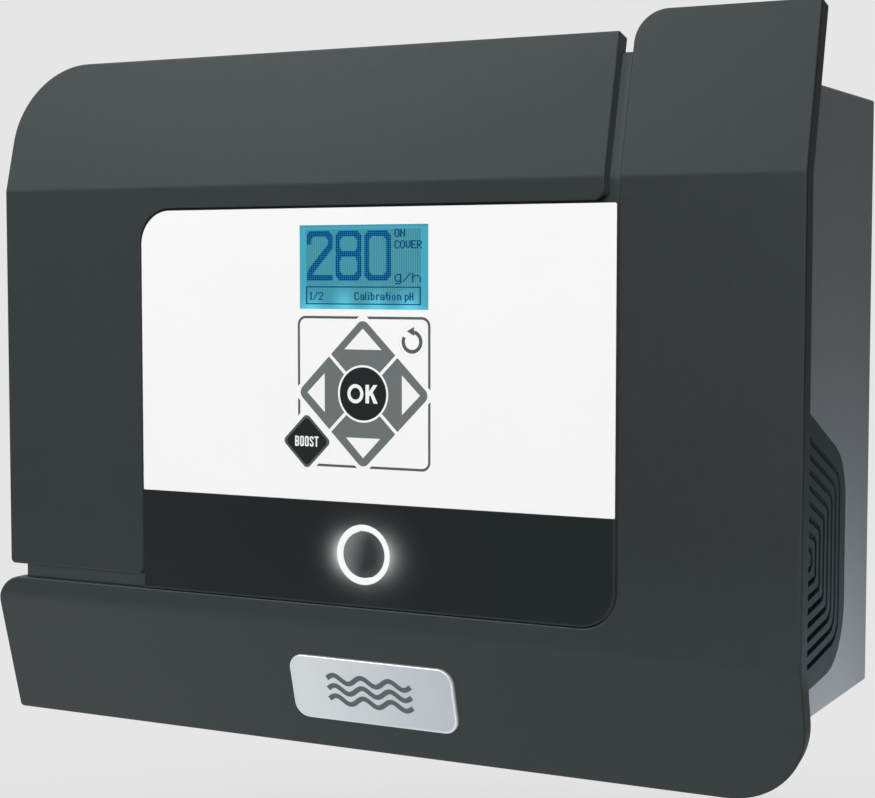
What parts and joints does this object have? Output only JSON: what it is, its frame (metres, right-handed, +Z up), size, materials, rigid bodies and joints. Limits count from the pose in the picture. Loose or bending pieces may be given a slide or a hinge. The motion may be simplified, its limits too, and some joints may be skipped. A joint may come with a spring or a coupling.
{
  "type": "salt chlorine generator",
  "caption": "Wall-hung control box of a salt chlorinator: folded two-piece front cover, white keypad panel with display, lit ring push-button, vented case, power electronics and cable glands.",
  "frame": {"origin": "on the wall face, at the middle of the wall bracket, level with the middle of the rear case", "axes": "+X to the right along the front, +Y into the wall, +Z up"},
  "size_m": [0.3415, 0.12, 0.2736],
  "materials": {
    "cover": "fine satin texture",
    "chassis": "fine satin texture",
    "case": "satin, slightly glossy",
    "grille": "satin",
    "white": "printed film, semi-gloss",
    "black": "high gloss",
    "key_grey": "printed film, semi-gloss",
    "key_black": "printed film, semi-gloss",
    "lcd": "lit display behind a clear window",
    "ring": "frosted, lit white",
    "badge": "brushed",
    "rubber": "matte",
    "steel": "zinc plated",
    "alu": "extruded, matt",
    "pcb": "solder mask",
    "module": "tinned sheet",
    "relay": "moulded",
    "cap": "shrink sleeve",
    "terminal": "moulded",
    "winding": "polyester tape",
    "nylon": "moulded nylon",
    "epoxy": "moulded epoxy",
    "fan": "moulded",
    "ribbon": "flat cable",
    "nickel": "nickel plated",
    "fuse_glass": "clear",
    "wire_red": "insulation",
    "wire_blue": "insulation"
  },
  "bodies": {
    "enclosure": {"badge_plate": "badge", "bridge_rectifier": "epoxy", "case_gasket": "rubber", "cell_gland_body": "nylon", "cell_lock_nut": "nylon", "cell_terminal_block": "terminal", "chassis_screw_1": "steel", "chassis_screw_2": "steel", "chassis_screw_3": "steel", "chassis_screw_4": "steel", "control_panel": "white", "display_board": "pcb", "fan_frame": "fan", "filter_capacitor_1": "cap", "filter_capacitor_2": "cap", "front_chassis": "chassis", "fuse_holder": "nylon", "heat_sink": "alu", "lcd_module": "module", "lcd_window": "lcd", "light_ring": "ring", "lower_right_cover": "cover", "main_board": "pcb", "mains_gland_body": "nylon", "mains_lock_nut": "nylon", "mains_terminal_block": "terminal", "polarity_relay_1": "relay", "polarity_relay_2": "relay", "power_switch": "fan", "primary_lead": "wire_blue", "probe_connector": "nickel", "probe_nut": "nickel", "rear_case": "case", "rectifier_screw": "steel", "ribbon_cable": "ribbon", "secondary_lead": "wire_red", "side_grille_left": "grille", "side_grille_right": "grille", "signal_terminal_block": "terminal", "status_strip": "black", "switch_nut": "nylon", "terminal_board": "pcb", "toroidal_transformer": "winding", "transformer_bolt": "steel", "transformer_clamp": "steel", "upper_left_cover": "cover", "wall_bracket": "steel"},
    "key_up": {"key_up": "key_grey"},
    "key_left": {"key_left": "key_grey"},
    "key_down": {"key_down": "key_grey"},
    "key_right": {"key_right": "key_grey"},
    "key_ok": {"key_ok": "key_black"},
    "key_boost": {"key_boost": "key_black"},
    "key_back": {"key_back": "white"},
    "power_button": {"power_button": "key_black"},
    "fan_rotor": {"fan_rotor": "fan"},
    "mains_gland_nut": {"mains_gland_nut": "nylon"},
    "cell_gland_nut": {"cell_gland_nut": "nylon"},
    "fuse_cap": {"fuse_cap": "nylon", "fuse_cartridge": "fuse_glass"}
  },
  "joints": [
    {"name": "key_up_press", "type": "slide", "parent": "enclosure", "child": "key_up", "axis": [0, 1, 0], "range_m": [0, 0.0004], "stiffness_N_per_m": 60},
    {"name": "key_left_press", "type": "slide", "parent": "enclosure", "child": "key_left", "axis": [0, 1, 0], "range_m": [0, 0.0004], "stiffness_N_per_m": 60},
    {"name": "key_down_press", "type": "slide", "parent": "enclosure", "child": "key_down", "axis": [0, 1, 0], "range_m": [0, 0.0004], "stiffness_N_per_m": 60},
    {"name": "key_right_press", "type": "slide", "parent": "enclosure", "child": "key_right", "axis": [0, 1, 0], "range_m": [0, 0.0004], "stiffness_N_per_m": 60},
    {"name": "key_ok_press", "type": "slide", "parent": "enclosure", "child": "key_ok", "axis": [0, 1, 0], "range_m": [0, 0.0004], "stiffness_N_per_m": 60},
    {"name": "key_boost_press", "type": "slide", "parent": "enclosure", "child": "key_boost", "axis": [0, 1, 0], "range_m": [0, 0.0004], "stiffness_N_per_m": 60},
    {"name": "key_back_press", "type": "slide", "parent": "enclosure", "child": "key_back", "axis": [0, 1, 0], "range_m": [0, 0.0004], "stiffness_N_per_m": 60},
    {"name": "power_button_press", "type": "slide", "parent": "enclosure", "child": "power_button", "axis": [0, 1, 0], "range_m": [0, 0.001], "stiffness_N_per_m": 80},
    {"name": "fan_spin", "type": "hinge", "parent": "enclosure", "child": "fan_rotor", "pos_m": [0.1455, -0.066, -0.052], "axis": [1, 0, 0], "continuous": true},
    {"name": "mains_gland_turn", "type": "hinge", "parent": "enclosure", "child": "mains_gland_nut", "pos_m": [-0.1, -0.052, -0.125], "axis": [0, 0, 1], "continuous": true},
    {"name": "cell_gland_turn", "type": "hinge", "parent": "enclosure", "child": "cell_gland_nut", "pos_m": [-0.066, -0.052, -0.125], "axis": [0, 0, 1], "continuous": true},
    {"name": "fuse_cap_turn", "type": "hinge", "parent": "enclosure", "child": "fuse_cap", "pos_m": [-0.034, -0.052, -0.118], "axis": [0, 0, 1], "range_deg": [0, 90]}
  ]
}
